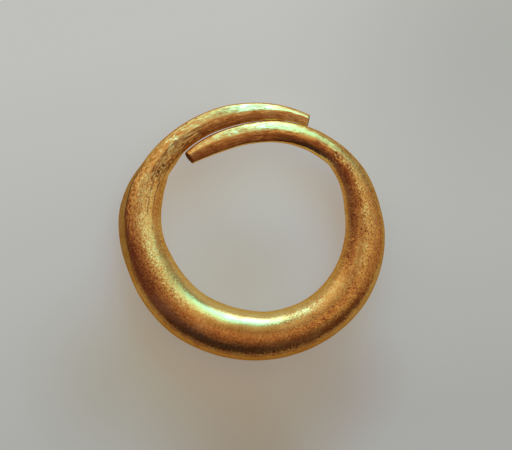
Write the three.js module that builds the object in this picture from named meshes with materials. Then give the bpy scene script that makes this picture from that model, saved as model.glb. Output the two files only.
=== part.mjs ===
// Gold hoop earring: one tapering strand of worked gold, thickest at the foot of the hoop, whose two thin
// ends run past each other side by side at the top. Millimetres, +Z up. The hoop lies on its side, so its
// plane is XY, its worn underside rests on z = 0, and the foot of the hoop is towards -Y.
//
// Places along the strand are angles in degrees, counter-clockwise from +X about the middle of the hoop.
// They run from the outer tip at the upper right, over the top, down the left side, round the foot and up
// the right side, and on inside the outer end to the inner tip at the upper left: more than one full turn.

import * as THREE from 'three';

// Sizes of the hoop, seen from above
const outerDiameter = 20.0;
const bodyWidth = 3.86;
const leftShoulderWidth = 2.12;
const rightShoulderWidth = 1.78;
const outerTipWidth = 0.84;
const innerTipWidth = 0.98;

// Sizes from the rest face up
const bodyDepth = 3.5;
const leftShoulderDepth = 2.0;
const rightShoulderDepth = 1.8;
const outerTipDepth = 0.84;
const innerTipDepth = 0.96;
const wornFlatDepth = 0.08;
const innerEndLift = 0.3;

// Clearances and small edges
const gapAtOuterTip = 0.03;
const gapAtInnerTip = 0.1;
const seatClearance = 0.08;
const tipEdge = 0.07;

// Places along the strand, in degrees of turn
const fullTurnAngle = 360;
const outerTipAngle = 63.3;
const leftShoulderAngle = 146;
const thickestAngle = 248;
const rightShoulderAngle = 402;
const innerTipAngle = 490.4;
const tuckStartAngle = 375;
const bendSetbackAngle = 6;
const leftRiseAngle = 30;
const rightRiseAngle = 50;
const tipCutAngle = 9;
const ridgeShiftAngle = 32;
const facetReachAngle = 28;
const endFacetReachAngle = 45;
const liftReachAngle = 40;

// The thin ends bend a little beyond the shoulders
const outerBendAngle = leftShoulderAngle - bendSetbackAngle;
const innerBendAngle = rightShoulderAngle + bendSetbackAngle;

// Angles of the two cut tips, in degrees: lean is seen from above, rake from the side
const outerLeanAngle = 15;
const outerRakeAngle = 5;
const innerLeanAngle = -2;
const innerRakeAngle = 16;

// How far each section is drawn from round towards a faceted outline with upright walls and a ridged roof
const endFacetShare = 0.9;
const shoulderFacetShare = 0.16;

// How far the roof falls from the ridge to the outer and the inner wall, as shares of half the depth, and
// the power that eases the corners
const outerFallShare = 0.55;
const innerFallShare = 0.27;
const cornerPower = 14;

// How far the ridge of each tip lies out from the middle of its width
const outerRidgeShare = 0.42;
const innerRidgeShare = 0.32;

// The seat of each thin end, as a share of the strand's width at its shoulder
const seatRadiusShare = 0.65;

// Counts of facets
const bodySides = 28;
const bodyStations = 62;
const endSides = 36;
const endStations = 30;
const seatRings = 4;
const halvings = 40;

// Outer edge of the hoop: turn, then share of the outer radius
const outlineShares = [
  [outerTipAngle, 0.984], [76, 0.98], [92, 0.974], [118, 0.971], [132, 0.972], [146, 0.976], [158, 1.003],
  [170, 1.015], [184, 1.0], [200, 0.979], [230, 0.971], [262, 0.961], [285, 0.966], [310, 0.988],
  [342, 1.003], [360, 0.994], [378, 0.976], [392, 0.988], [404, 0.995], [414, 0.995],
  [outerTipAngle + fullTurnAngle, 0.984],
];

// Swell of the body from each shoulder to its thickest place: share of the way, then share of the swell
const leftSwellShares = [
  [0, 0], [0.07, 0.24], [0.15, 0.46], [0.25, 0.62], [0.36, 0.7], [0.53, 0.83], [0.75, 0.95], [1, 1],
];
const rightSwellShares = [
  [0, 0], [0.1, 0.23], [0.2, 0.45], [0.28, 0.58], [0.35, 0.66], [0.48, 0.76], [0.66, 0.82], [0.78, 0.87],
  [0.88, 0.96], [1, 1],
];

// Swell of each thin end from its tip to its shoulder: share of the way, then share of the swell
const outerSwellShares = [
  [0, 0], [0.17, 0.24], [0.32, 0.45], [0.5, 0.61], [0.66, 0.67], [0.81, 0.74], [0.93, 0.94], [1, 1],
];
const innerSwellShares = [
  [0, 0], [0.05, 0.22], [0.14, 0.5], [0.24, 0.66], [0.45, 0.76], [0.7, 0.86], [0.88, 0.92], [1, 1],
];

const radians = THREE.MathUtils.degToRad;
const mix = THREE.MathUtils.lerp;

// Where a value lies between two others, from 0 to 1
function shareOfWay(value, from, to) {
  return THREE.MathUtils.clamp((value - from) / (to - from), 0, 1);
}

// The same with an eased start and end
function easedShare(value, from, to) {
  return THREE.MathUtils.smoothstep(shareOfWay(value, from, to), 0, 1);
}

// Slope of a smooth line at a table's row: level at a hollow or a crest, else between the slopes beside it
function slopeAt(rows, i) {
  const before = i > 0 ? (rows[i][1] - rows[i - 1][1]) / (rows[i][0] - rows[i - 1][0]) : null;
  const after = i < rows.length - 1 ? (rows[i + 1][1] - rows[i][1]) / (rows[i + 1][0] - rows[i][0]) : null;
  if (before === null) return after;
  if (after === null) return before;
  return before * after > 0 ? (2 * before * after) / (before + after) : 0;
}

// Value of a smooth line through a table's rows
function readShare(rows, place) {
  const beyond = rows.findIndex(([at]) => at > place);
  const row = beyond < 0 ? rows.length - 2 : Math.max(beyond - 1, 0);
  const step = rows[row + 1][0] - rows[row][0];
  const t = shareOfWay(place, rows[row][0], rows[row + 1][0]);
  const rise = t ** 2 * (3 - 2 * t);
  const leave = slopeAt(rows, row) * step * t * (1 - t) ** 2;
  const arrive = slopeAt(rows, row + 1) * step * t ** 2 * (1 - t);
  return mix(rows[row][1], rows[row + 1][1], rise) + leave - arrive;
}

// The four stretches of the strand, each from its thin place to its thick one
function stretchAt(turn) {
  if (turn < leftShoulderAngle) return [outerSwellShares, outerTipAngle, leftShoulderAngle];
  if (turn > rightShoulderAngle) return [innerSwellShares, innerTipAngle, rightShoulderAngle];
  if (turn < thickestAngle) return [leftSwellShares, leftShoulderAngle, thickestAngle];
  return [rightSwellShares, rightShoulderAngle, thickestAngle];
}

// How far the strand has swollen at a turn: the stretch's thin and thick sizes are mixed by this share
function swellAt(turn) {
  const [shares, thin, thick] = stretchAt(turn);
  return readShare(shares, shareOfWay(turn, thin, thick));
}

// Width of the strand at a turn, seen from above
function widthAt(turn) {
  const swell = swellAt(turn);
  if (turn < leftShoulderAngle) return mix(outerTipWidth, leftShoulderWidth, swell);
  if (turn > rightShoulderAngle) return mix(innerTipWidth, rightShoulderWidth, swell);
  return mix(turn < thickestAngle ? leftShoulderWidth : rightShoulderWidth, bodyWidth, swell);
}

// Depth of the strand at a turn, before its underside is worn flat
function depthAt(turn) {
  const swell = swellAt(turn);
  if (turn < leftShoulderAngle) return mix(outerTipDepth, leftShoulderDepth, swell);
  if (turn > rightShoulderAngle) return mix(innerTipDepth, rightShoulderDepth, swell);
  const left = easedShare(turn, leftShoulderAngle, leftShoulderAngle + leftRiseAngle);
  const right = easedShare(turn, rightShoulderAngle, rightShoulderAngle - rightRiseAngle);
  const shoulder = turn < thickestAngle ? leftShoulderDepth : rightShoulderDepth;
  return mix(shoulder, bodyDepth + wornFlatDepth, Math.min(left, right));
}

// Radius of the strand's outer edge. Where it comes round again it tucks in beside the outer end.
function outerEdgeAt(turn) {
  const tucked = outerTipAngle + fullTurnAngle;
  const share = readShare(outlineShares, turn > tucked ? turn - fullTurnAngle : turn);
  const beside = Math.max(turn - fullTurnAngle, outerTipAngle);
  const gap = mix(gapAtOuterTip, gapAtInnerTip, shareOfWay(turn, tucked, innerTipAngle));
  return (share * outerDiameter) / 2 - easedShare(turn, tuckStartAngle, tucked) * (widthAt(beside) + gap);
}

// How faceted the section is at a turn: round in the body, a little faceted at the shoulders, strongly so
// on the thin ends
function facetAt(turn) {
  const left = easedShare(turn, leftShoulderAngle + facetReachAngle, leftShoulderAngle);
  const right = easedShare(turn, rightShoulderAngle - facetReachAngle, rightShoulderAngle);
  const outer = easedShare(turn, leftShoulderAngle, leftShoulderAngle - endFacetReachAngle);
  const inner = easedShare(turn, rightShoulderAngle, rightShoulderAngle + endFacetReachAngle);
  const shoulder = shoulderFacetShare * (Math.max(left, right) - outer - inner);
  return shoulder + endFacetShare * (outer + inner);
}

// How far out the ridge lies at a turn, as a share of half the width
function ridgeAt(turn) {
  const outer = outerRidgeShare * easedShare(turn, outerTipAngle + ridgeShiftAngle, outerTipAngle);
  const inner = innerRidgeShare * easedShare(turn, innerTipAngle - ridgeShiftAngle, innerTipAngle);
  return outer + inner;
}

// How far along the strand a point of the section runs ahead, so that each tip is cut off aslant
function tipCut(turn, outward, upward) {
  const outer = easedShare(turn, outerTipAngle + tipCutAngle, outerTipAngle);
  const inner = easedShare(turn, innerTipAngle - tipCutAngle, innerTipAngle);
  const lean = outer * Math.tan(radians(outerLeanAngle)) + inner * Math.tan(radians(innerLeanAngle));
  const rake = outer * Math.tan(radians(outerRakeAngle)) - inner * Math.tan(radians(innerRakeAngle));
  return lean * outward + rake * upward;
}

// How far a direction of the section runs to the side of the roof that falls outward: 1 where it meets it
function roofShare(out, up, ridge, fall) {
  return (Math.abs(up) * (1 - ridge) + fall * out) / (1 - ridge + fall * ridge);
}

// How far the faceted outline reaches in a direction, given by its outward and upward shares: to the nearest
// of the wall and the roof's two sides, with the corners eased. It is the same below.
function outlineReach(turn, out, up) {
  const ridge = ridgeAt(turn);
  const outerSide = roofShare(out, up, ridge, outerFallShare);
  const innerSide = roofShare(-out, up, -ridge, innerFallShare);
  const [a, b, c] = [Math.abs(out), outerSide, innerSide].map((share) => Math.max(share, 0) ** cornerPower);
  return (a + b + c) ** (-1 / cornerPower);
}

// Level of the middle of the strand at a turn: the inner end climbs a little, clear of the outer end's side
function levelAt(turn) {
  const lift = innerEndLift * easedShare(turn, innerBendAngle, innerBendAngle + liftReachAngle);
  return (bodyDepth - wornFlatDepth) / 2 + lift;
}

// A point at a distance out from the middle of the hoop, and a height
function placeAt(turn, radius, height) {
  return new THREE.Vector3(radius * Math.cos(radians(turn)), radius * Math.sin(radians(turn)), height);
}

// The middle of the strand at a turn
function middleAt(turn) {
  return placeAt(turn, outerEdgeAt(turn) - widthAt(turn) / 2, levelAt(turn));
}

// A point of the strand's skin. The section is a circle drawn towards the faceted outline and stretched to
// the strand's width and depth. around runs from the outer edge over the top. inset shrinks the section all
// round.
function skinPoint(turn, around, inset = 0) {
  const [out, up] = [Math.cos(around), Math.sin(around)];
  const reach = mix(1, outlineReach(turn, out, up), facetAt(turn));
  const outward = reach * out * (widthAt(turn) / 2 - inset);
  const upward = reach * up * (depthAt(turn) / 2 - inset);
  const radius = outerEdgeAt(turn) - widthAt(turn) / 2 + outward;
  const cutTurn = turn + THREE.MathUtils.radToDeg(tipCut(turn, outward, upward) / radius);
  return placeAt(cutTurn, radius, Math.max(levelAt(turn) + upward, 0));
}

// The turn at which one line of the skin meets a ball about a bend, on the body's side of it, by halving
function turnOnBall(ball, around, bodySide) {
  let [inside, outside] = [ball.turn, ball.turn + bodySide * ball.reach];
  for (let halving = 0; halving < halvings; halving += 1) {
    const middle = (inside + outside) / 2;
    if (skinPoint(middle, around).distanceTo(ball.centre) < ball.radius) inside = middle;
    else outside = middle;
  }
  return (inside + outside) / 2;
}

// The ball of a seat: the dished shoulder and the domed root of the thin end share its centre
function seatBall(turn, shoulderWidth, clearance) {
  const radius = seatRadiusShare * shoulderWidth - clearance;
  const centre = middleAt(turn);
  return { turn, centre, radius, reach: 2 * THREE.MathUtils.radToDeg(radius / centre.length()) };
}

// Rings on a ball, from its rim ring in to its pole
function ballRings(ball, rim, pole) {
  const rings = [];
  for (let k = 1; k < seatRings; k += 1) {
    rings.push(rim.map((point) => {
      const direction = point.clone().sub(ball.centre).normalize();
      direction.lerp(pole, k / seatRings).normalize();
      return direction.multiplyScalar(ball.radius).add(ball.centre);
    }));
  }
  return rings;
}

// The direction along the strand at a turn, towards greater turns
function alongAt(turn) {
  return placeAt(turn + fullTurnAngle / 4, 1, 0);
}

// One closed body from rings of points that follow each other along the strand, and a point at each end
function closedSkin(rings, startPoint, endPoint) {
  const sides = rings[0].length;
  const points = [...rings.flat(), startPoint, endPoint];
  const [start, end] = [points.length - 2, points.length - 1];
  const faces = [];
  for (let j = 0; j < sides; j += 1) {
    const next = (j + 1) % sides;
    for (let i = 0; i < rings.length - 1; i += 1) {
      const [here, ahead] = [i * sides, (i + 1) * sides];
      faces.push(here + j, ahead + j, here + next, here + next, ahead + j, ahead + next);
    }
    const lastRing = (rings.length - 1) * sides;
    faces.push(start, j, next, end, lastRing + next, lastRing + j);
  }
  const geometry = new THREE.BufferGeometry().setFromPoints(points);
  geometry.setIndex(faces);
  geometry.computeVertexNormals();
  return geometry;
}

function ringAngles(sides) {
  return Array.from({ length: sides }, (_, j) => (2 * Math.PI * j) / sides);
}

// The thick body, with a dished shoulder at each end
function hoopBody() {
  const leftBall = seatBall(outerBendAngle, leftShoulderWidth, 0);
  const rightBall = seatBall(innerBendAngle, rightShoulderWidth, 0);
  const angles = ringAngles(bodySides);
  const starts = angles.map((around) => turnOnBall(leftBall, around, 1));
  const ends = angles.map((around) => turnOnBall(rightBall, around, -1));
  const rings = [];
  for (let i = 0; i <= bodyStations; i += 1) {
    rings.push(angles.map((around, j) => skinPoint(mix(starts[j], ends[j], i / bodyStations), around)));
  }
  const leftPole = alongAt(outerBendAngle);
  const rightPole = alongAt(innerBendAngle).negate();
  const leftDish = ballRings(leftBall, rings[0], leftPole).reverse();
  const rightDish = ballRings(rightBall, rings[bodyStations], rightPole);
  const leftPoint = leftPole.clone().multiplyScalar(leftBall.radius).add(leftBall.centre);
  const rightPoint = rightPole.clone().multiplyScalar(rightBall.radius).add(rightBall.centre);
  return closedSkin([...leftDish, ...rings, ...rightDish], leftPoint, rightPoint);
}

// One thin end: a domed root that sits in the shoulder's dish, a faceted taper and an eased, cut tip
function thinEnd(bendTurn, shoulderWidth, tipTurn) {
  const ball = seatBall(bendTurn, shoulderWidth, seatClearance);
  const towardsTip = Math.sign(tipTurn - bendTurn);
  const angles = ringAngles(endSides);
  const roots = angles.map((around) => turnOnBall(ball, around, -towardsTip));
  const edgeTurn = towardsTip * THREE.MathUtils.radToDeg(tipEdge / middleAt(tipTurn).length());
  const rings = [];
  for (let i = 0; i <= endStations; i += 1) {
    rings.push(angles.map((around, j) => (
      skinPoint(mix(roots[j], tipTurn - edgeTurn, i / endStations), around)
    )));
  }
  const face = angles.map((around) => skinPoint(tipTurn, around, tipEdge));
  const faceMiddle = new THREE.Vector3();
  face.forEach((point) => faceMiddle.addScaledVector(point, 1 / endSides));
  const pole = alongAt(bendTurn).multiplyScalar(-towardsTip);
  const dome = ballRings(ball, rings[0], pole).reverse();
  const domePoint = pole.clone().multiplyScalar(ball.radius).add(ball.centre);
  const all = [...dome, ...rings, face];
  if (towardsTip > 0) return closedSkin(all, domePoint, faceMiddle);
  return closedSkin(all.reverse(), faceMiddle, domePoint);
}

function piece(name, geometry, colour, roughness) {
  const gold = new THREE.MeshStandardMaterial({ color: colour, roughness, metalness: 1 });
  const mesh = new THREE.Mesh(geometry, gold);
  mesh.name = name;
  return mesh;
}

const strand = new THREE.Group();
strand.add(
  piece('hoop_body', hoopBody(), 0xc9963a, 0.38),
  piece('outer_end', thinEnd(outerBendAngle, leftShoulderWidth, outerTipAngle), 0xd2a244, 0.26),
  piece('inner_end', thinEnd(innerBendAngle, rightShoulderWidth, innerTipAngle), 0xd2a244, 0.26),
);

// The origin is on the rest face, under the middle of the hoop's bounding box
const box = new THREE.Box3().setFromObject(strand);
const middle = box.getCenter(new THREE.Vector3());
strand.position.set(-middle.x, -middle.y, -box.min.z);

const earring = new THREE.Group();
earring.name = 'hoop_earring';
earring.add(strand);

export default earring;
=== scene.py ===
# Looks of the gold hoop earring: a worn, grained gold body and two smoother hammered ends, on a pale floor
import bpy
import numpy as np
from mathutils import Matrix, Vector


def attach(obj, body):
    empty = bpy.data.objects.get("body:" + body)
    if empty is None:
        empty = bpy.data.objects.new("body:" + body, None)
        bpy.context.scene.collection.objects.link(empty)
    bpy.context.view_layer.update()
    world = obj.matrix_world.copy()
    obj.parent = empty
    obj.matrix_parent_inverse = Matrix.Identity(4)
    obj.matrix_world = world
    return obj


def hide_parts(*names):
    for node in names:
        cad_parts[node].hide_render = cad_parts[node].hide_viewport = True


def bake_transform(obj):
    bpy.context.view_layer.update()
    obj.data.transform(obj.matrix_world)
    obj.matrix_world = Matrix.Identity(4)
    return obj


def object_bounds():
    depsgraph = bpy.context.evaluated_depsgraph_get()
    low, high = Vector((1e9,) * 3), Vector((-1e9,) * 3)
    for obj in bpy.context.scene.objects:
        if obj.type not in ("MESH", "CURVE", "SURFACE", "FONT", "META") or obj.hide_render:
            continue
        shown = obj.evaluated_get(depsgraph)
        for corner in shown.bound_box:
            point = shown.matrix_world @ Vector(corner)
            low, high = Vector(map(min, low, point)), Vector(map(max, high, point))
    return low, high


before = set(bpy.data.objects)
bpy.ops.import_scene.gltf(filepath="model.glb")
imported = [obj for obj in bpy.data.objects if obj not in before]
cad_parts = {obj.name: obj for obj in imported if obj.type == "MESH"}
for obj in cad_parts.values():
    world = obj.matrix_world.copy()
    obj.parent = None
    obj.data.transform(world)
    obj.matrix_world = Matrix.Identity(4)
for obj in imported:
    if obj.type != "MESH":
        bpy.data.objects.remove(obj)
cadLow, cadHigh = [np.array(corner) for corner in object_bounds()]
print("frame loaded with", len(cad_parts), "nodes")

mm = 0.001
degree = np.pi / 180
fullTurn = 360

# The strand: one tapering bar of gold. Places along it are turns in degrees, counter-clockwise from +X
strand = {
    "outerDiameter": 20.0 * mm,
    "bodyWidth": 3.86 * mm,
    "leftShoulderWidth": 2.12 * mm,
    "rightShoulderWidth": 1.78 * mm,
    "outerTipWidth": 0.84 * mm,
    "innerTipWidth": 0.98 * mm,
    "bodyDepth": cadHigh[2] - cadLow[2],
    "leftShoulderDepth": 2.0 * mm,
    "rightShoulderDepth": 1.8 * mm,
    "outerTipDepth": 0.84 * mm,
    "innerTipDepth": 0.96 * mm,
    "wornFlatDepth": 0.08 * mm,  # worn off the underside
    "gapAtOuterTip": 0.03 * mm,  # between the two ends where they lie side by side
    "gapAtInnerTip": 0.1 * mm,
    "outerTip": 63.3,
    "leftShoulder": 146.0,
    "thickest": 248.0,
    "rightShoulder": 402.0,
    "innerTip": 490.4,
    "tuckStart": 375.0,  # from here on the strand tucks in behind the outer end
    "leftRise": 30.0,  # the underside falls from the shoulders over these turns
    "rightRise": 50.0,
    "leftCrown": 80.0,  # the top rises over these
    "rightCrownStart": 388.0,
    "rightCrown": 98.0,
    "innerBend": 408.0,  # the inner end lifts from here on
    "innerLift": 0.3 * mm,
    "liftReach": 40.0,
    "tipCut": 9.0,  # the tips lean and rake over this last stretch
    "outerLean": 15.0,
    "outerRake": 5.0,
    "innerLean": -2.0,
    "innerRake": 16.0,
    "endFacetShare": 0.9,  # how faceted the section is: 0 round, 1 with flat sides and edges
    "shoulderFacetShare": 0.16,
    "facetReach": 28.0,  # facets fade into the body, and grow along the ends, over these turns
    "endFacetReach": 45.0,
    "outerFallShare": 0.55,  # how far the section's roof falls to each side, as a share of its height
    "innerFallShare": 0.27,
    "cornerPower": 14,  # higher is sharper
    "outerRidgeShare": 0.42,  # how far out the ridge lies at the tip, as a share of half the width
    "innerRidgeShare": 0.32,
    "ridgeShift": 32.0,  # the ridge moves outward over this last stretch of each end
    "fitStations": 1500,  # rings and points where the skin is measured against the CAD box
    "fitSides": 97,
}
strand["midLevel"] = (strand["bodyDepth"] - strand["wornFlatDepth"]) / 2

# Outer edge of the hoop: turn, then share of the outer radius
outlineShares = [
    (63.3, 0.984), (76, 0.98), (92, 0.974), (118, 0.971), (132, 0.972), (146, 0.976), (158, 1.003),
    (170, 1.015), (184, 1.0), (200, 0.979), (230, 0.971), (262, 0.961), (285, 0.966), (310, 0.988),
    (342, 1.003), (360, 0.994), (378, 0.976), (392, 0.988), (404, 0.995), (414, 0.995), (423.3, 0.984),
]

# Swell of each stretch: share of the way from its thin place, then share of the swell
leftSwellShares = [
    (0, 0), (0.07, 0.24), (0.15, 0.46), (0.25, 0.62), (0.36, 0.7), (0.53, 0.83), (0.75, 0.95), (1, 1),
]
rightSwellShares = [
    (0, 0), (0.1, 0.23), (0.2, 0.45), (0.28, 0.58), (0.35, 0.66), (0.48, 0.76), (0.66, 0.82), (0.78, 0.87),
    (0.88, 0.96), (1, 1),
]
outerSwellShares = [
    (0, 0), (0.17, 0.24), (0.32, 0.45), (0.5, 0.61), (0.66, 0.67), (0.81, 0.74), (0.93, 0.94), (1, 1),
]
innerSwellShares = [
    (0, 0), (0.05, 0.22), (0.14, 0.5), (0.24, 0.66), (0.45, 0.76), (0.7, 0.86), (0.88, 0.92), (1, 1),
]


def mix(low, high, share):  # low at share 0, high at share 1, straight between
    return low + (high - low) * share


def shareOfWay(value, start, end):  # where a value lies from start to end, held to 0 and 1
    return np.clip((value - start) / (end - start), 0.0, 1.0)


def easedShare(value, start, end):  # the same with eased ends: three t squared less two t cubed
    t = shareOfWay(value, start, end)
    return t * t * (3 - 2 * t)


# 1 between a rise and a fall and 0 outside them: each is a pair of places, where it is 0 and where it is 1
def shareBetween(value, rise, fall):
    return easedShare(value, *rise) * easedShare(value, *fall)


# A smooth line through a table's rows: cubic pieces whose slope at a row is the harmonic mean of the
# slopes beside it, and level at a hollow or a crest
def readShare(rows, place):
    at, value = np.array(rows, float).T
    slope = np.diff(value) / np.diff(at)
    before, after = slope[:-1], slope[1:]
    together = np.where(before + after == 0, 1.0, before + after)
    inner = np.where(before * after > 0, 2 * before * after / together, 0.0)
    leave = np.concatenate([slope[:1], inner, slope[-1:]])
    place = np.clip(place, at[0], at[-1])
    row = np.clip(np.searchsorted(at, place, side="right") - 1, 0, len(at) - 2)
    step = at[row + 1] - at[row]
    t = (place - at[row]) / step
    rise = t * t * (3 - 2 * t)
    start = leave[row] * step * t * (1 - t) ** 2
    stop = leave[row + 1] * step * t * t * (1 - t)
    return mix(value[row], value[row + 1], rise) + start - stop


# How far the strand has swollen at a turn, read from the table of its stretch
def swellAt(turn):
    s = strand
    onOuter = readShare(outerSwellShares, shareOfWay(turn, s["outerTip"], s["leftShoulder"]))
    onInner = readShare(innerSwellShares, shareOfWay(turn, s["innerTip"], s["rightShoulder"]))
    onLeft = readShare(leftSwellShares, shareOfWay(turn, s["leftShoulder"], s["thickest"]))
    onRight = readShare(rightSwellShares, shareOfWay(turn, s["rightShoulder"], s["thickest"]))
    places = [turn < s["leftShoulder"], turn > s["rightShoulder"], turn < s["thickest"]]
    return np.select(places, [onOuter, onInner, onLeft], onRight)


# Width from above: the stretch's thin and thick widths mixed by its swell
def widthAt(turn):
    s = strand
    places = [turn < s["leftShoulder"], turn > s["rightShoulder"], turn < s["thickest"]]
    thinWidths = [s["outerTipWidth"], s["innerTipWidth"], s["leftShoulderWidth"]]
    thickWidths = [s["leftShoulderWidth"], s["rightShoulderWidth"]]
    thin = np.select(places, thinWidths, s["rightShoulderWidth"])
    thick = np.select(places[:2], thickWidths, s["bodyWidth"])
    return mix(thin, thick, swellAt(turn))


# Depth of the body where it has risen by a left and a right share of the way from its shoulders: the
# nearer shoulder's depth mixed with the whole depth by the lower share
def risenDepth(turn, left, right):
    s = strand
    shoulder = np.where(turn < s["thickest"], s["leftShoulderDepth"], s["rightShoulderDepth"])
    return mix(shoulder, s["bodyDepth"] + s["wornFlatDepth"], np.minimum(left, right))


# Depth before the underside is worn: swell on the ends, an eased rise from each shoulder on the body
def depthAt(turn):
    s = strand
    left = easedShare(turn, s["leftShoulder"], s["leftShoulder"] + s["leftRise"])
    right = easedShare(turn, s["rightShoulder"], s["rightShoulder"] - s["rightRise"])
    onOuter = mix(s["outerTipDepth"], s["leftShoulderDepth"], swellAt(turn))
    onInner = mix(s["innerTipDepth"], s["rightShoulderDepth"], swellAt(turn))
    places = [turn < s["leftShoulder"], turn > s["rightShoulder"]]
    return np.select(places, [onOuter, onInner], risenDepth(turn, left, right))


# Depth that the top side follows. It rises from the shoulders more slowly than the underside does
def crownAt(turn):
    s = strand
    left = easedShare(turn, s["leftShoulder"], s["leftShoulder"] + s["leftCrown"])
    right = easedShare(turn, s["rightCrownStart"], s["rightCrownStart"] - s["rightCrown"])
    onEnds = (turn < s["leftShoulder"]) | (turn > s["rightShoulder"])
    return np.where(onEnds, depthAt(turn), risenDepth(turn, left, right))


# Radius of the outer edge: the outline, less the outer end's width and a gap where the strand tucks in
def outerEdgeAt(turn):
    s = strand
    tucked = s["outerTip"] + fullTurn
    share = readShare(outlineShares, np.where(turn > tucked, turn - fullTurn, turn))
    beside = np.maximum(turn - fullTurn, s["outerTip"])
    gap = mix(s["gapAtOuterTip"], s["gapAtInnerTip"], shareOfWay(turn, tucked, s["innerTip"]))
    return share * s["outerDiameter"] / 2 - easedShare(turn, s["tuckStart"], tucked) * (widthAt(beside) + gap)


def middleRadiusAt(turn):  # from the hoop's centre to the strand's middle line
    return outerEdgeAt(turn) - widthAt(turn) / 2


def sectionRadiusAt(turn):  # mean of half the width and half the depth
    return (widthAt(turn) + depthAt(turn)) / 4


def lengthAlong(turn):  # arc of the outer circle up to a turn
    return turn * degree * strand["outerDiameter"] / 2


# How faceted the section is: round in the body, a little faceted at the shoulders, strongly on the thin ends
def facetAt(turn):
    s = strand
    left = easedShare(turn, s["leftShoulder"] + s["facetReach"], s["leftShoulder"])
    right = easedShare(turn, s["rightShoulder"] - s["facetReach"], s["rightShoulder"])
    outer = easedShare(turn, s["leftShoulder"], s["leftShoulder"] - s["endFacetReach"])
    inner = easedShare(turn, s["rightShoulder"], s["rightShoulder"] + s["endFacetReach"])
    shoulder = s["shoulderFacetShare"] * (np.maximum(left, right) - outer - inner)
    return shoulder + s["endFacetShare"] * (outer + inner)


# How far out the ridge lies, as a share of half the width
def ridgeAt(turn):
    s = strand
    outer = s["outerRidgeShare"] * easedShare(turn, s["outerTip"] + s["ridgeShift"], s["outerTip"])
    return outer + s["innerRidgeShare"] * easedShare(turn, s["innerTip"] - s["ridgeShift"], s["innerTip"])


# How far a direction of the section runs to the side of the roof that falls outward: 1 where it meets it
def roofShare(out, up, ridge, fall):
    return np.maximum(np.abs(up) * (1 - ridge) + fall * out, 0) / (1 - ridge + fall * ridge)


# Reach of the faceted outline in a direction: upright walls at both sides and a roof that falls from the
# ridge to each, the same below. One over the reach is the largest of the three shares, with the corners
# eased by summing high powers
def facetReachAt(turn, out, up):
    ridge, power = ridgeAt(turn), strand["cornerPower"]
    outerSide = roofShare(out, up, ridge, strand["outerFallShare"])
    innerSide = roofShare(-out, up, -ridge, strand["innerFallShare"])
    return (np.abs(out) ** power + outerSide ** power + innerSide ** power) ** (-1 / power)


# A point of the skin, in the strand's own frame: a circle drawn towards the faceted outline, stretched to
# the width and depth, cut aslant at the tips and held above the floor
def skinPoint(turn, around, inset=0.0):
    s = strand
    c, up = np.cos(around), np.sin(around)
    roundness = mix(1.0, facetReachAt(turn, c, up), facetAt(turn))
    outward = roundness * c * (widthAt(turn) / 2 - inset)
    upward = roundness * up * (np.where(up > 0, crownAt(turn), depthAt(turn)) / 2 - inset)
    outer = easedShare(turn, s["outerTip"] + s["tipCut"], s["outerTip"])
    inner = easedShare(turn, s["innerTip"] - s["tipCut"], s["innerTip"])
    lean = outer * np.tan(s["outerLean"] * degree) + inner * np.tan(s["innerLean"] * degree)
    rake = outer * np.tan(s["outerRake"] * degree) - inner * np.tan(s["innerRake"] * degree)
    radius = middleRadiusAt(turn) + outward
    angle = turn * degree + (lean * outward + rake * upward) / radius
    lift = s["innerLift"] * easedShare(turn, s["innerBend"], s["innerBend"] + s["liftReach"])
    height = np.maximum(s["midLevel"] + lift + upward, 0.0)
    return np.stack([radius * np.cos(angle), radius * np.sin(angle), height], axis=-1)


# The strand's frame sits in the part's frame so that the skin fills the CAD box
allTurns = np.linspace(strand["outerTip"], strand["innerTip"], strand["fitStations"])[:, None]
allRound = np.linspace(0, 2 * np.pi, strand["fitSides"])[None, :]
wholeSkin = skinPoint(allTurns, allRound).reshape(-1, 3)
strandShift = (cadLow + cadHigh - wholeSkin.min(0) - wholeSkin.max(0)) / 2
strandShift[2] = 0.0
print("strand shift in mm:", np.round(strandShift / mm, 3))


# Noise and grooves on the skin
noise = {"slopes": 256, "gain": 1.7}  # how many slopes it draws on, and what widens it to about -1 to 1
groove = {"lipPlace": 2.0, "lipShare": 0.25}  # the lip's distance in widths, and its share of the depth


# Smooth noise, about -1 to 1: a random slope at each corner of a unit cell, blended by an eased share of the
# way, which is six t to the fifth less fifteen t to the fourth plus ten t cubed
def smoothNoise(points, seed):
    random = np.random.default_rng(seed)
    order = random.permutation(noise["slopes"])
    slopes = random.normal(size=(noise["slopes"], 3))
    slopes /= np.linalg.norm(slopes, axis=1, keepdims=True)
    cell = np.floor(points).astype(int)
    local = points - cell
    eased = local ** 3 * (local * (local * 6 - 15) + 10)
    total = np.zeros(points.shape[:-1])
    for corner in np.ndindex(2, 2, 2):
        picked = 0
        for step in np.moveaxis(cell + corner, -1, 0):
            picked = order[(picked + step) % noise["slopes"]]
        weight = np.prod(np.where(corner, eased, 1 - eased), axis=-1)
        total += weight * (slopes[picked] * (local - corner)).sum(-1)
    return total * noise["gain"]


# Distance on the skin from each point to a line of (turn, around) places: the shortest of the distances to
# its straight pieces, with turns and rounds stretched to their lengths on the strand
def distanceToLine(turn, around, line):
    along = degree * middleRadiusAt(turn)
    about = degree * sectionRadiusAt(turn)
    best = np.full(np.broadcast_shapes(turn.shape, around.shape), np.inf)
    for (turnA, aroundA), (turnB, aroundB) in zip(line, line[1:]):
        u, v = (turn - turnA) * along, (around / degree - aroundA) * about
        du, dv = (turnB - turnA) * along, (aroundB - aroundA) * about
        t = np.clip((u * du + v * dv) / (du * du + dv * dv), 0, 1)
        best = np.minimum(best, np.hypot(u - t * du, v - t * dv))
    return best


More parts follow.
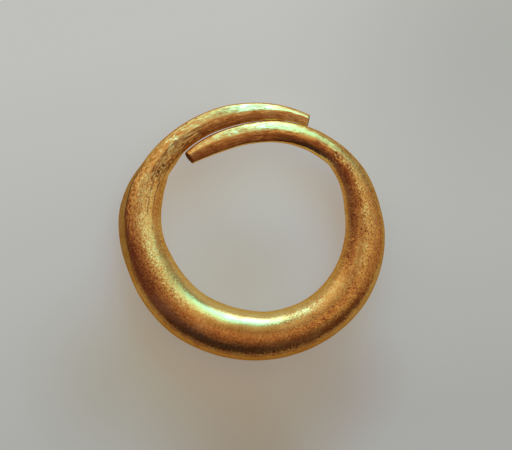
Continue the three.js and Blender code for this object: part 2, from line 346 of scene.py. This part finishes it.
# Depth of a groove from its distance: a bell-shaped hollow with a low lip beside it
def grooveDepth(distance, width):
    lip = np.exp(-((distance - groove["lipPlace"] * width) / width) ** 2)
    return np.exp(-(distance / width) ** 2) - groove["lipShare"] * lip


# Wear and tool marks, and darkening that is partly dirt and partly painted shade. Places are (turn, around),
# in degrees; around runs from the outer edge over the top.
# The chine is the low ridge along the inner side of a strip cut on the left shoulder
wear = {
    "slowReach": 3.0 * mm,
    "slowHeight": 0.03 * mm,
    "dimpleReach": 1.0 * mm,
    "dimpleHeight": 0.007 * mm,
    "grainReach": 0.27 * mm,
    "grainHeight": 0.003 * mm,
    "fluteLength": 5.0 * mm,
    "fluteWidth": 0.3 * mm,
    "fluteHeight": 0.004 * mm,
    "endFluteShare": 1.1,
    "bodyFluteShare": 0.1,
    "chine": [(140, 20), (147, 27), (158, 36), (166, 45), (178, 50), (189, 49), (201, 38), (212, 32)],
    "stripTurns": [(140, 152), (212, 192)],
    "chineLine": {"depth": 0.014 * mm, "width": 0.08 * mm},
    # painted shade on the cut strip, darkening its reflection of the floor
    "stripPaintedShade": 0.42,
    "creases": [
        {"depth": 0.02 * mm, "width": 0.06 * mm,
         "line": [(112, 96), (122, 93), (132, 90), (144, 90), (153, 97)]},
        {"depth": 0.018 * mm, "width": 0.055 * mm,
         "line": [(118, 108), (128, 110), (140, 108), (150, 112)]},
        {"depth": 0.014 * mm, "width": 0.05 * mm,
         "line": [(124, 101), (136, 99), (148, 102), (158, 107), (170, 112)]},
        {"depth": 0.013 * mm, "width": 0.05 * mm,
         "line": [(128, 120), (140, 118), (152, 121)]},
        {"depth": 0.015 * mm, "width": 0.055 * mm,
         "line": [(130, 84), (140, 81), (149, 84)]},
        {"depth": 0.012 * mm, "width": 0.06 * mm,
         "line": [(152, 128), (160, 126), (168, 129), (178, 127)]},
        {"depth": 0.05 * mm, "width": 0.07 * mm,
         "line": [(401.2, 97), (402.4, 88), (403.6, 84)]},
    ],
    "creaseDarkening": 0.7,
    "creasesApart": 3.7,  # how far apart in the noise each crease finds its own waver
    "waverReach": 0.7 * mm,
    "waverAngle": 1.3,
    "breakReach": 1.1 * mm,
    "unbrokenShare": 0.85,  # how whole the creases are
    # The rim's darkening is partly dirt and partly painted shade: the outer side is made darker and redder
    # where it reflects the floor lying in the hoop's own shadow
    "rimDirtAndShade": 0.24,  # on the outer side and a little under it
    "rimMiddle": -12.0,
    "rimReach": 38.0,
    "rimRubbed": 0.6,
    # how dark and red the cut faces at the tips are made
    "tipDarkness": 1.0,
    "pits": [
        {"place": (143.4, 112), "radius": 0.1 * mm, "depth": 0.035 * mm},
        {"place": (147.6, 107), "radius": 0.09 * mm, "depth": 0.035 * mm},
        {"place": (249.9, 78), "radius": 0.05 * mm, "depth": 0.016 * mm},
        {"place": (263.5, 103), "radius": 0.055 * mm, "depth": 0.016 * mm},
        {"place": (286.1, 100), "radius": 0.045 * mm, "depth": 0.012 * mm},
        {"place": (301.0, 96), "radius": 0.045 * mm, "depth": 0.012 * mm},
    ],
    "pitLength": 0.1,
}

# Grain of each stretch as a share of the material's, and the turns where one gives way to the next
grainShares = {"ends": 0.4, "sides": 1.05, "foot": 0.55}
grainTurns = {"body": [(108, 128), (414, 400)], "foot": [(195, 235), (350, 315)]}

# Places rubbed smooth, their reaches in degrees, and the share of the grain that is gone
rubbedPlaces = [
    {"place": (259, 118), "reach": (30, 34), "gone": 0.8},
    {"place": (372, 112), "reach": (32, 18), "gone": 0.3},
    {"place": (200, 52), "reach": (36, 20), "gone": 0.35},
]

# Tone of the gold, and painted light and shade: places, reaches in degrees, and how pale (above 0) or how red
# and dark (below 0). Besides the gold's own uneven tone, the pale patches are painted highlights and sheen
# and the dark ones painted shade and dark reflections
toneAndPaintedLight = [
    {"place": (157, 74), "reach": (10, 18), "tone": 0.6},
    {"place": (172, 108), "reach": (22, 20), "tone": 0.8},
    {"place": (187, 60), "reach": (22, 18), "tone": -0.85},
    {"place": (196, 82), "reach": (16, 13), "tone": -0.75},
    {"place": (260, 153), "reach": (60, 25), "tone": 0.95},
    {"place": (318, 84), "reach": (20, 12), "tone": -0.65},
    {"place": (262, 42), "reach": (58, 10), "tone": -0.9},
    {"place": (262, 63), "reach": (48, 9), "tone": 0.45},
    {"place": (284, 0), "reach": (42, 15), "tone": -0.5},
    {"place": (322, 54), "reach": (16, 14), "tone": -0.6},
    {"place": (166, 52), "reach": (12, 12), "tone": -0.5},
    {"place": (225, 86), "reach": (12, 7), "tone": -0.5},
    {"place": (324, 124), "reach": (20, 14), "tone": 0.35},
    {"place": (290, 117), "reach": (13, 9), "tone": -0.35},
    {"place": (231, 132), "reach": (12, 11), "tone": 0.6},
    {"place": (360, 54), "reach": (30, 22), "tone": -0.7},
    {"place": (355, 124), "reach": (19, 12), "tone": -0.85},
    {"place": (383, 106), "reach": (14, 17), "tone": -0.7},
    {"place": (404, 84), "reach": (13, 26), "tone": -0.75},
    {"place": (408, 132), "reach": (16, 16), "tone": 0.65},
    {"place": (133, 100), "reach": (10, 22), "tone": 0.7},
    {"place": (108, 88), "reach": (14, 16), "tone": 0.35},
    {"place": (84, 106), "reach": (15, 26), "tone": 0.4},
    {"place": (66, 100), "reach": (7, 60), "tone": 0.6},
    {"place": (484, 66), "reach": (9, 40), "tone": 0.9},
]

# How many times as long as wide the grain is, and the turns where the body's gives way to the thin ends'
flow = {"bodyStretch": 1.25, "endStretch": 5.0, "bodyTurns": [(122, 166), (416, 392)], "stations": 2000}


# Sum over a table of patches of a value times the share that the patch covers. A patch is flat-topped: its
# share falls off by the fourth powers of the way from its middle
def sumPatches(turn, around, patches, value):
    total = 0
    for patch in patches:
        along = (turn - patch["place"][0]) / patch["reach"][0]
        about = (around / degree - patch["place"][1]) / patch["reach"][1]
        total = total + patch[value] * np.exp(-along ** 4 - about ** 4)
    return total


# Share of the material's grain: that of the foot, the sides or the ends, less what is rubbed away
def grainAt(turn, around):
    onBody = mix(grainShares["sides"], grainShares["foot"], shareBetween(turn, *grainTurns["foot"]))
    everywhere = mix(grainShares["ends"], onBody, shareBetween(turn, *grainTurns["body"]))
    return everywhere * (1 - sumPatches(turn, around, rubbedPlaces, "gone"))


# The grain runs along the strand, so its length is divided by the stretch and summed step by step
flowTurns = np.linspace(strand["outerTip"], strand["innerTip"], flow["stations"])
flowStretch = mix(flow["endStretch"], flow["bodyStretch"], shareBetween(flowTurns, *flow["bodyTurns"]))
flowLengths = np.cumsum(np.gradient(lengthAlong(flowTurns)) / flowStretch)


# Where the grain's pattern is read: the shortened length along the strand, then the way out and up
def flowAt(turn, points):
    out = np.hypot(points[..., 0] - strandShift[0], points[..., 1] - strandShift[1]) - middleRadiusAt(turn)
    along = np.interp(turn, flowTurns, flowLengths)
    return np.stack(np.broadcast_arrays(along, out, points[..., 2]), axis=-1)


# Height of the hammered surface above the plain skin: smooth noise of three sizes, and long flutes that are
# strong on the thin ends
def hammeredHeight(turn, around, points, grain):
    w = wear
    height = w["slowHeight"] * smoothNoise(points / w["slowReach"], seed=1)
    height = height + w["dimpleHeight"] * smoothNoise(points / w["dimpleReach"], seed=2)
    height = height + w["grainHeight"] * grain * smoothNoise(points / w["grainReach"], seed=3)
    out = sectionRadiusAt(turn) * np.cos(around) / w["fluteWidth"]
    up = sectionRadiusAt(turn) * np.sin(around) / w["fluteWidth"]
    fluted = np.stack(np.broadcast_arrays(lengthAlong(turn) / w["fluteLength"], out, up), axis=-1)
    strength = mix(w["endFluteShare"], w["bodyFluteShare"], shareBetween(turn, *grainTurns["body"]))
    return height + w["fluteHeight"] * strength * smoothNoise(fluted, seed=4)


# Depth and painted shade of the strip: a chord across the section from the outer edge to the chine, and a
# fine dark line along the chine. The strip is darkened as painted shade for the floor it reflects
def stripMarks(turn, around):
    w = wear
    chineTurns, chineRounds = np.array(w["chine"], float).T
    chine = np.interp(turn, chineTurns, chineRounds) * degree
    cut = shareBetween(turn, *w["stripTurns"])
    inside = (around > 0) & (around < chine)
    flat = np.maximum(1 - np.cos(chine / 2) / np.cos(around - chine / 2), 0)
    line = cut * grooveDepth(distanceToLine(turn, around, w["chine"]), w["chineLine"]["width"])
    depth = np.where(inside, cut * sectionRadiusAt(turn) * flat, 0) + w["chineLine"]["depth"] * line
    # the strip's painted shade, and the dark line along the chine
    return depth, np.maximum(np.where(inside, w["stripPaintedShade"] * cut, 0), line)


# Depth and darkening of the creases: grooves that waver from side to side and break off here and there,
# darker where they are deeper
def creaseMarks(turn, around):
    w = wear
    depth, dirt = 0, 0
    along = lengthAlong(turn)
    for number, crease in enumerate(w["creases"]):
        own = np.full_like(along, w["creasesApart"] * number)
        steps = np.stack([along / w["waverReach"], own, np.zeros_like(along)], axis=-1)
        wavering = around + w["waverAngle"] * degree * smoothNoise(steps, seed=5)
        broken = smoothNoise(steps * w["waverReach"] / w["breakReach"], seed=6)
        hollow = grooveDepth(distanceToLine(turn, wavering, crease["line"]), crease["width"])
        hollow = hollow * np.clip(w["unbrokenShare"] + broken, 0, 1)
        depth = depth + crease["depth"] * hollow
        dirt = np.maximum(dirt, w["creaseDarkening"] * hollow)
    return depth, dirt


# Depth and dirt of the pits: grooves that are hardly longer than wide
def pitMarks(turn, around):
    depth, dirt = 0, 0
    for pit in wear["pits"]:
        pitTurn, pitRound = pit["place"]
        line = [(pitTurn, pitRound), (pitTurn + wear["pitLength"], pitRound)]
        hollow = grooveDepth(distanceToLine(turn, around, line), pit["radius"])
        depth = depth + pit["depth"] * hollow
        dirt = np.maximum(dirt, hollow)
    return depth, dirt


# Height of all the marks above the plain skin, and the measures that the gold reads: its share of grain, how
# dark a point is made by dirt and painted shade, its tone with its painted light and shade, and where the
# grain's pattern is read
def marksAt(turn, around, points):
    grain = grainAt(turn, around)
    rim = np.exp(-((around / degree - wear["rimMiddle"]) / wear["rimReach"]) ** 4)
    height = hammeredHeight(turn, around, points, grain)
    # darker, redder outer side: partly dirt, partly painted shade of the shadowed floor it reflects
    dirt = wear["rimDirtAndShade"] * rim
    for depth, dirtHere in (stripMarks(turn, around), creaseMarks(turn, around), pitMarks(turn, around)):
        height = height - depth
        dirt = np.maximum(dirt, dirtHere)
    return height, {
        "grain": grain * (1 - wear["rimRubbed"] * rim),
        "dirt": np.clip(dirt, 0, 1),
        "tone": np.clip(sumPatches(turn, around, toneAndPaintedLight, "tone"), -1, 1),
        "flow": flowAt(turn, points),
    }


# Mesh pieces

# Outward normals of a grid of points: the cross product of its slopes along and about the strand
def gridNormals(points):
    along = np.gradient(points, axis=0)
    about = np.roll(points, -1, axis=1) - np.roll(points, 1, axis=1)
    normal = np.cross(along, about)
    length = np.linalg.norm(normal, axis=-1, keepdims=True)
    return normal / np.where(length > 0, length, 1)


# The skin with its marks: each point moves along its normal by the marks' height and stays above the floor
def markedSkin(rings, turn, around):
    height, measures = marksAt(turn, around, rings)
    marked = rings + gridNormals(rings) * height[..., None]
    marked[..., 2] = np.maximum(marked[..., 2], 0)
    return marked, measures


# The skin's measures as the mesh's own attributes, with the first and last ring's means at the two poles
def storeMeasures(mesh, measures):
    for measure, values in measures.items():
        size = values[0, 0].size
        layer = mesh.attributes.new(measure, "FLOAT" if size == 1 else "FLOAT_VECTOR", "POINT")
        ends = [values[0].mean(0), values[-1].mean(0)]
        everywhere = np.concatenate([values.reshape(-1, size), np.reshape(ends, (-1, size))])
        layer.data.foreach_set("value" if size == 1 else "vector", everywhere.ravel().astype(np.float32))


# A closed tube: rings of points joined by quads, and a fan of triangles to a pole at each end
def closedTube(name, rings, measures):
    count, sides = rings.shape[:2]
    poles = [rings[0].mean(0), rings[-1].mean(0)]
    points = np.concatenate([rings.reshape(-1, 3), poles])
    here = np.arange(count * sides).reshape(count, sides)
    beside = np.roll(here, -1, axis=1)
    quads = np.stack([here[:-1], here[1:], beside[1:], beside[:-1]], axis=-1).reshape(-1, 4)
    start, end = count * sides, count * sides + 1
    startFan = np.stack([np.full(sides, start), here[0], beside[0]], axis=-1)
    endFan = np.stack([np.full(sides, end), beside[-1], here[-1]], axis=-1)
    mesh = bpy.data.meshes.new(name)
    mesh.from_pydata(points.tolist(), [], quads.tolist() + startFan.tolist() + endFan.tolist())
    mesh.polygons.foreach_set("use_smooth", np.ones(len(mesh.polygons), bool))
    storeMeasures(mesh, measures)
    mesh.update()
    piece = bpy.data.objects.new(name, mesh)
    bpy.context.scene.collection.objects.link(piece)
    return piece


body = {
    "stations": 560,
    "sides": 172,
    "leftSeam": 146.3,
    "rightSeam": 401.7,
    "hiddenReach": 4.0,  # how far past a seam each skin runs on under its neighbour, in degrees
    "hiddenDepth": 0.06 * mm,
}

thinEnds = {
    "stations": 330,
    "sides": 112,
    "tipEdge": 0.07 * mm,
    "edgeRings": 5,
    "faceRings": 8,
    "outerBend": (142, 129),  # each end bends between these turns
    "innerBend": (406, 419),
}


def ringAngles(sides):  # evenly round the section, from the underside on
    return np.linspace(-np.pi / 2, 1.5 * np.pi, sides, endpoint=False)[None, :]


# How far a skin has sunk under its neighbour, by the square of the way past the seam
def sunk(turn, seam, side):
    past = np.clip((turn - seam) * side / body["hiddenReach"], 0, None)
    return body["hiddenDepth"] * past ** 2


# The body, which runs on past both seams and sinks there
def makeBody():
    b = body
    first, last = b["leftSeam"] - b["hiddenReach"], b["rightSeam"] + b["hiddenReach"]
    turns = np.linspace(first, last, b["stations"])[:, None]
    around = ringAngles(b["sides"])
    inset = sunk(turns, b["leftSeam"], -1) + sunk(turns, b["rightSeam"], 1)
    rings, measures = markedSkin(skinPoint(turns, around, inset) + strandShift, turns, around)
    return closedTube("grained_body", rings, measures)


# A thin end from under the body's skin to its tip: a quarter round leads from the skin onto the cut face,
# which shrinks ring by ring to its middle
def makeEnd(name, seam, tip):
    e = thinEnds
    side = np.sign(tip - seam)
    start = seam - side * body["hiddenReach"]
    edgeTurn = e["tipEdge"] / middleRadiusAt(np.array(tip)) / degree
    turns = np.linspace(start, tip - side * edgeTurn, e["stations"])[:, None]
    around = ringAngles(e["sides"])
    rings = skinPoint(turns, around, sunk(turns, seam, -side))
    bend = np.linspace(0, np.pi / 2, e["edgeRings"] + 1)[1:, None]
    edgeTurns = tip - side * edgeTurn * (1 - np.sin(bend))
    edge = skinPoint(edgeTurns, around, e["tipEdge"] * (1 - np.cos(bend)))
    middle = edge[-1].mean(0)
    shares = np.linspace(1, 0, e["faceRings"] + 1)[1:-1, None, None]
    face = middle + (edge[-1] - middle) * shares
    rings = np.concatenate([rings, edge, face]) + strandShift
    # The rounded edge at each tip is darkened more towards the cut face, and the cut face fully
    tipDarkening = np.concatenate([np.zeros_like(turns), 1 - np.cos(bend), np.ones((len(face), 1))])
    tipDarkening = tipDarkening * wear["tipDarkness"]
    turns = np.concatenate([turns, edgeTurns, np.full((len(face), 1), tip)])
    if side < 0:
        rings, turns, tipDarkening = rings[::-1], turns[::-1], tipDarkening[::-1]
    rings, measures = markedSkin(rings, turns, around)
    measures["dirt"] = np.maximum(measures["dirt"], tipDarkening)
    return closedTube(name, rings, measures)


hoopSkin = makeBody()
outerSkin = makeEnd("hammered_outer_end", body["leftSeam"], strand["outerTip"])
innerSkin = makeEnd("hammered_inner_end", body["rightSeam"], strand["innerTip"])
print("skins made:", [len(piece.data.polygons) for piece in (hoopSkin, outerSkin, innerSkin)], "faces")


# Materials

# A new node with its settings. An input given as another node's socket is linked, any other is a value
def addNode(tree, kind, inputs, **settings):
    node = tree.nodes.new(kind)
    for key, value in settings.items():
        setattr(node, key, value)
    for key, value in inputs.items():
        if isinstance(value, bpy.types.NodeSocket):
            tree.links.new(value, node.inputs[key])
        else:
            node.inputs[key].default_value = value
    return node


def numberMaths(tree, operation, *inputs):  # one sum on numbers or sockets
    return addNode(tree, "ShaderNodeMath", dict(enumerate(inputs)), operation=operation).outputs["Value"]


def vectorMaths(tree, operation, inputs, output="Vector"):  # the same on vectors
    return addNode(tree, "ShaderNodeVectorMath", inputs, operation=operation).outputs[output]


def mapRange(tree, inputs, easing="LINEAR"):  # a value carried from one range to another
    return addNode(tree, "ShaderNodeMapRange", inputs, interpolation_type=easing).outputs["Result"]


def cloudyTexture(tree, place, size, detail, fineShare):  # each layer half as large as the last
    inputs = {"Vector": place, "Scale": 1 / size, "Detail": detail, "Roughness": fineShare}
    return addNode(tree, "ShaderNodeTexNoise", inputs).outputs["Fac"]


goldLook = {
    "toneColours": [(0.08, (0.53, 0.2, 0.06, 1)), (0.4, (0.82, 0.42, 0.1, 1)), (0.6, (0.88, 0.49, 0.135, 1)),
                    (0.95, (1.0, 0.74, 0.26, 1))],
    "toneReach": 0.45,
    "edgeTint": (0.96, 0.66, 0.33, 1),
    "dirtColour": (0.18, 0.055, 0.03, 1),
    "smoothRoughness": 0.18,
    "grainRoughness": 0.34,
    "dirtRoughness": 0.65,
    "grainSize": 0.1 * mm,
    "grainDetail": 3,
    "grainFineShare": 0.6,  # strength of each finer layer of the grain beside the last
    "grainHeight": 0.01 * mm,
    "crystalSize": 0.08 * mm,
    "crystalTilt": 0.28,
    "crystalTone": 0.38,
    "leastCrystalTone": 0.25,
    "patchSize": 1.3 * mm,
    "patchDetail": 5,
    "patchFineShare": 0.55,
}
hammeredLook = {**goldLook, "smoothRoughness": 0.2, "grainRoughness": 0.28, "grainHeight": 0.012 * mm}


# What the gold reads at each point: its place, the skin's measures, and a random vector about nought that
# is the same all over each crystal
def readSkin(tree, look):
    skin = {"place": addNode(tree, "ShaderNodeTexCoord", {}).outputs["Object"]}
    for measure, output in (("grain", "Fac"), ("dirt", "Fac"), ("tone", "Fac"), ("flow", "Vector")):
        skin[measure] = addNode(tree, "ShaderNodeAttribute", {}, attribute_name=measure).outputs[output]
    cells = {"Vector": skin["flow"], "Scale": 1 / look["crystalSize"]}
    crystals = addNode(tree, "ShaderNodeTexVoronoi", cells, feature="F1").outputs["Color"]
    halfway = (0.5, 0.5, 0.5)
    skin["crystal"] = vectorMaths(tree, "SUBTRACT", {0: crystals, 1: halfway})
    return skin


# Colour: a ramp read at the noise of the patches plus the place's tone with its painted light and shade plus
# each crystal's own, under dirt and painted shade
def goldColour(tree, look, skin):
    patch = cloudyTexture(tree, skin["place"], look["patchSize"], look["patchDetail"], look["patchFineShare"])
    toned = numberMaths(tree, "MULTIPLY_ADD", skin["tone"], look["toneReach"], patch)
    varied = numberMaths(tree, "MULTIPLY_ADD", skin["grain"], look["crystalTone"], look["leastCrystalTone"])
    own = addNode(tree, "ShaderNodeSeparateXYZ", {"Vector": skin["crystal"]}).outputs["X"]
    tone = addNode(tree, "ShaderNodeValToRGB", {"Fac": numberMaths(tree, "MULTIPLY_ADD", own, varied, toned)})
    stops = tone.color_ramp.elements
    for position, _ in look["toneColours"][2:]:
        stops.new(position)
    for stop, (position, colour) in zip(stops, look["toneColours"]):
        stop.position, stop.color = position, colour
    # dirt and painted shade: a dark red-brown mixed over the gold's colour
    mixed = {"Factor": skin["dirt"], "A": tone.outputs["Color"], "B": look["dirtColour"]}
    return addNode(tree, "ShaderNodeMix", mixed, data_type="RGBA").outputs["Result"]


# Roughness: from smooth to grained by the share of grain, and matt under the dirt and painted shade
def goldRoughness(tree, look, skin):
    ends = {"To Min": look["smoothRoughness"], "To Max": look["grainRoughness"]}
    rough = mapRange(tree, {"Value": skin["grain"], **ends})
    mixed = {"Factor": skin["dirt"], "A": rough, "B": look["dirtRoughness"]}
    return addNode(tree, "ShaderNodeMix", mixed, data_type="FLOAT").outputs["Result"]


# Normal: a rolling grain, on which fine crystals each tilt the surface their own way
def goldRelief(tree, look, skin):
    tilt = numberMaths(tree, "MULTIPLY", skin["grain"], look["crystalTilt"])
    tilted = vectorMaths(tree, "SCALE", {0: skin["crystal"], "Scale": tilt})
    fine = cloudyTexture(tree, skin["flow"], look["grainSize"], look["grainDetail"], look["grainFineShare"])
    hills = {"Distance": look["grainHeight"], "Height": fine, "Strength": skin["grain"]}
    rolling = addNode(tree, "ShaderNodeBump", hills).outputs["Normal"]
    return vectorMaths(tree, "NORMALIZE", {0: vectorMaths(tree, "ADD", {0: rolling, 1: tilted})})


# Gold whose tone, roughness and grain follow the skin's own measures
def goldMaterial(name, look):
    material = bpy.data.materials.new(name)
    material.use_nodes = True
    tree = material.node_tree
    shader = tree.nodes["Principled BSDF"]
    shader.inputs["Metallic"].default_value = 1.0
    shader.inputs["Specular Tint"].default_value = look["edgeTint"]
    skin = readSkin(tree, look)
    tree.links.new(goldColour(tree, look, skin), shader.inputs["Base Color"])
    tree.links.new(goldRoughness(tree, look, skin), shader.inputs["Roughness"])
    tree.links.new(goldRelief(tree, look, skin), shader.inputs["Normal"])
    return material


hoopSkin.data.materials.append(goldMaterial("grained gold", goldLook))
hammered = goldMaterial("hammered gold", hammeredLook)
for piece in (outerSkin, innerSkin):
    piece.data.materials.append(hammered)
print("gold made")


def placeOnStrand(turn):  # the strand's middle at a turn, in the part's frame
    x, y, _ = skinPoint(np.array(float(turn)), np.array(np.pi / 2)) + strandShift
    return x, y, strand["midLevel"]


outerStart, outerStop = [placeOnStrand(turn) for turn in thinEnds["outerBend"]]
innerStart, innerStop = [placeOnStrand(turn) for turn in thinEnds["innerBend"]]
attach(hoopSkin, "hoop")
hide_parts("hoop_body")
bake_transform(outerSkin)
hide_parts("outer_end")
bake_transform(innerSkin)
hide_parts("inner_end")

# Floor, light and camera
studio = {
    "floorSize": 2.0,
    "floorColour": (0.4, 0.4, 0.36),
    "floorGlow": (0.294, 0.274, 0.236),
    "glowStrength": 1.0,
    "floorRoughness": 0.8,
    "floorGloss": 0.0,
    "gradientReach": 16 * mm,
    "gradientTowards": (-0.2, 0.98, 0),
    "gradientShares": (0.845, 1.125),  # of the light, a reach behind and a reach ahead along this way
    "shadeFrom": -17 * mm,
    "shadeTo": -75 * mm,
    "shadeShare": 0.82,  # of the light, where the shade is full
    "lens": 180.0,
    "sensor": 36.0,
    "clip": (0.01, 10.0),
    "viewWidth": 38.5 * mm,
    "viewMiddle": (0.329 * mm, 0.501 * mm),
}

# Soft patches of light and shade on the floor: place, reach, and colour added to its glow
floorPatches = [
    {"place": (1.0 * mm, 5.0 * mm, 0), "reach": 7.0 * mm, "colour": (0.027, 0.055, 0.065)},
    {"place": (-1.0 * mm, -3.5 * mm, 0), "reach": 7.0 * mm, "colour": (-0.03, -0.05, -0.075)},
    {"place": (0, -17.0 * mm, 0), "reach": 11.0 * mm, "colour": (-0.065, -0.11, -0.15)},
    {"place": (7.5 * mm, -11.5 * mm, 0), "reach": 6.0 * mm, "colour": (-0.035, -0.06, -0.07)},
    {"place": (-10.0 * mm, -11.0 * mm, 0), "reach": 10.0 * mm, "colour": (-0.045, -0.065, -0.1)},
    {"place": (19.0 * mm, 17.0 * mm, 0), "reach": 19.0 * mm, "colour": (-0.08, -0.08, -0.085)},
]


# Share of the light at a place of the floor: a slant across the hoop, times an eased shade far in front of it
def floorLight(tree, place):
    s = studio
    slantWay = {"From Min": -s["gradientReach"], "From Max": s["gradientReach"],
                "To Min": s["gradientShares"][0], "To Max": s["gradientShares"][1]}
    towards = vectorMaths(tree, "DOT_PRODUCT", {0: place, 1: s["gradientTowards"]}, "Value")
    slant = mapRange(tree, {"Value": towards, **slantWay})
    shadeWay = {"From Min": s["shadeTo"], "From Max": s["shadeFrom"], "To Min": s["shadeShare"]}
    inFront = addNode(tree, "ShaderNodeSeparateXYZ", {"Vector": place}).outputs["Y"]
    shade = mapRange(tree, {"Value": inFront, **shadeWay}, "SMOOTHSTEP")
    return numberMaths(tree, "MULTIPLY", slant, shade)


# Pale ground: its colour and glow times the share of light, and the glow plus its patches, each eased from
# its reach to its middle
def floorMaterial():
    material = bpy.data.materials.new("pale ground")
    material.use_nodes = True
    tree = material.node_tree
    place = addNode(tree, "ShaderNodeTexCoord", {}).outputs["Object"]
    light = floorLight(tree, place)
    colour = vectorMaths(tree, "SCALE", {0: studio["floorColour"], "Scale": light})
    glow = vectorMaths(tree, "SCALE", {0: studio["floorGlow"], "Scale": light})
    for spot in floorPatches:
        distance = vectorMaths(tree, "DISTANCE", {0: place, 1: spot["place"]}, "Value")
        nearby = mapRange(tree, {"Value": distance, "From Min": spot["reach"], "From Max": 0.0}, "SMOOTHSTEP")
        glow = vectorMaths(tree, "MULTIPLY_ADD", {0: spot["colour"], 1: nearby, 2: glow})
    shader = tree.nodes["Principled BSDF"]
    tree.links.new(colour, shader.inputs["Base Color"])
    tree.links.new(glow, shader.inputs["Emission Color"])
    shader.inputs["Emission Strength"].default_value = studio["glowStrength"]
    shader.inputs["Roughness"].default_value = studio["floorRoughness"]
    shader.inputs["Specular IOR Level"].default_value = studio["floorGloss"]
    return material


def makeFloor():  # one square about the origin
    half = studio["floorSize"] / 2
    mesh = bpy.data.meshes.new("floor")
    corners = [(-half, -half, 0), (half, -half, 0), (half, half, 0), (-half, half, 0)]
    mesh.from_pydata(corners, [], [(0, 1, 2, 3)])
    floor = bpy.data.objects.new("floor", mesh)
    bpy.context.scene.collection.objects.link(floor)
    mesh.materials.append(floorMaterial())


# Soft light round the room: azimuth and elevation in degrees, half spread in degrees, colour
roomDark = (0.025, 0.015, 0.025)
lobes = [
    {"azimuth": 82, "elevation": 28, "spread": 48, "colour": (0.4, 0.47, 0.4)},
    {"azimuth": 56, "elevation": 34, "spread": 26, "colour": (0.35, 1.25, 1.9)},
    {"azimuth": 80, "elevation": 24, "spread": 24, "colour": (0.15, 1.7, 3.4)},
    {"azimuth": 100, "elevation": 17, "spread": 21, "colour": (0.2, 1.3, 2.5)},
    {"azimuth": 85, "elevation": 24, "spread": 15, "colour": (0.0, 0.5, 3.0)},
    {"azimuth": 90, "elevation": 3, "spread": 32, "colour": (0.95, 0.9, 0.85)},
    {"azimuth": 10, "elevation": 50, "spread": 42, "colour": (0.58, 0.54, 0.42)},
    {"azimuth": 0, "elevation": 8, "spread": 32, "colour": (0.4, 0.26, 0.15)},
    {"azimuth": 140, "elevation": 45, "spread": 32, "colour": (0.54, 0.45, 0.36)},
    {"azimuth": 135, "elevation": 12, "spread": 34, "colour": (0.55, 0.46, 0.36)},
    {"azimuth": 80, "elevation": 78, "spread": 45, "colour": (0.2, 0.15, 0.12)},
    {"azimuth": 195, "elevation": 30, "spread": 42, "colour": (0.12, 0.06, 0.09)},
    {"azimuth": 262, "elevation": 74, "spread": 36, "colour": (0.2, 0.1, 0.08)},
    {"azimuth": 310, "elevation": 30, "spread": 38, "colour": (0.09, 0.045, 0.03)},
]


# The room: its dark, plus each light's colour times an eased share, from 0 at its spread to 1 at its middle
def makeWorld():
    world = bpy.data.worlds.new("studio")
    bpy.context.scene.world = world
    world.use_nodes = True
    tree = world.node_tree
    direction = addNode(tree, "ShaderNodeTexCoord", {}).outputs["Generated"]
    total = roomDark
    for lobe in lobes:
        azimuth, elevation = lobe["azimuth"] * degree, lobe["elevation"] * degree
        level = np.cos(elevation)
        towards = (np.cos(azimuth) * level, np.sin(azimuth) * level, np.sin(elevation))
        facing = vectorMaths(tree, "DOT_PRODUCT", {0: direction, 1: towards}, "Value")
        rim = float(np.cos(lobe["spread"] * degree))
        share = mapRange(tree, {"Value": facing, "From Min": rim}, "SMOOTHSTEP")
        scaled = vectorMaths(tree, "SCALE", {0: lobe["colour"], "Scale": share})
        total = vectorMaths(tree, "ADD", {0: total, 1: scaled})
    tree.links.new(total, tree.nodes["Background"].inputs["Color"])


def makeCamera():  # straight above, as far off as the lens needs for the view's width
    data = bpy.data.cameras.new("camera")
    data.lens = studio["lens"]
    data.sensor_width = studio["sensor"]
    data.clip_start, data.clip_end = studio["clip"]
    camera = bpy.data.objects.new("camera", data)
    bpy.context.scene.collection.objects.link(camera)
    above = studio["viewWidth"] * studio["lens"] / studio["sensor"] + strand["midLevel"]
    camera.location = (*studio["viewMiddle"], above)
    bpy.context.scene.camera = camera


makeFloor()
makeWorld()
makeCamera()
bpy.context.scene.view_settings.view_transform = "Standard"
print("floor, light and camera placed")
